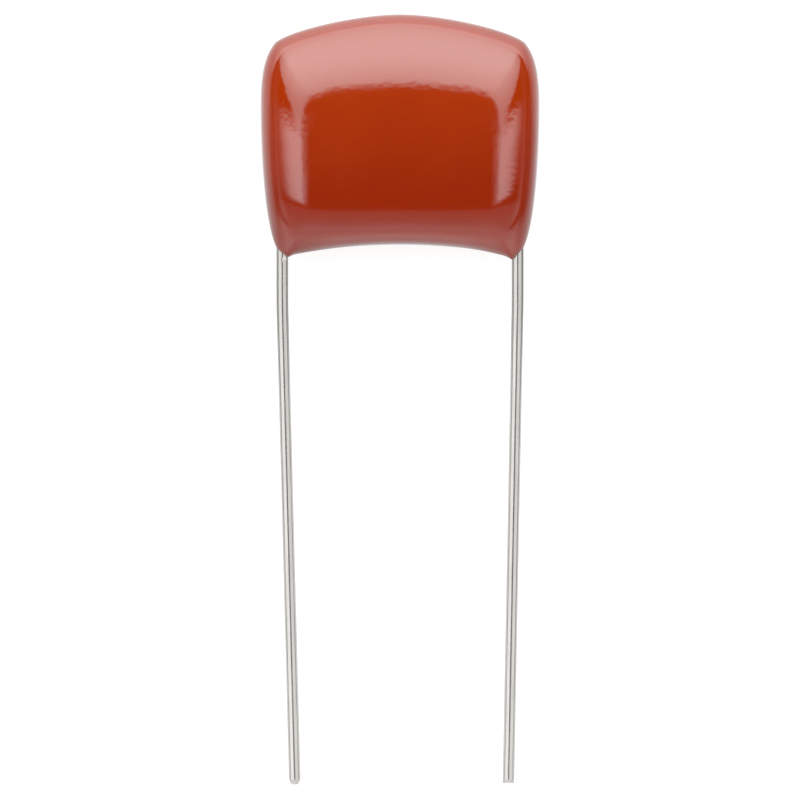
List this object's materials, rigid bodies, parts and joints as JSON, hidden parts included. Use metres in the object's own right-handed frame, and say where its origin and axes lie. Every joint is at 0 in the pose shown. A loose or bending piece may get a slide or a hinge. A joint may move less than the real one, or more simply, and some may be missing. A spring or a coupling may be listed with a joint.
{
  "type": "polyester film capacitor",
  "caption": "Dipped polyester film capacitor: a flattened film roll in glossy red-brown epoxy, with two long tinned radial leads.",
  "frame": {"origin": "on the flat back, behind the middle of the wound roll", "axes": "+X from the left lead to the right lead as seen from the front, +Y from the lead ends up to the crown, +Z from the flat back to the front face"},
  "size_m": [0.0178, 0.049, 0.008],
  "materials": {
    "red_epoxy": "glossy dipped epoxy, red-brown, slightly lumpy",
    "metallised_film": "tightly wound aluminised polyester film, silver grey",
    "plain_film": "clear plain polyester film, several turns",
    "sprayed_zinc": "matt, grainy sprayed zinc",
    "tinned_wire": "bright drawn wire with a thin tin coat"
  },
  "bodies": {
    "root": {"epoxy_coat": "red_epoxy", "film_winding": "metallised_film", "cover_wrap": "plain_film", "end_spray_left": "sprayed_zinc", "end_spray_right": "sprayed_zinc", "lead_left": "tinned_wire", "lead_right": "tinned_wire"}
  },
  "joints": []
}
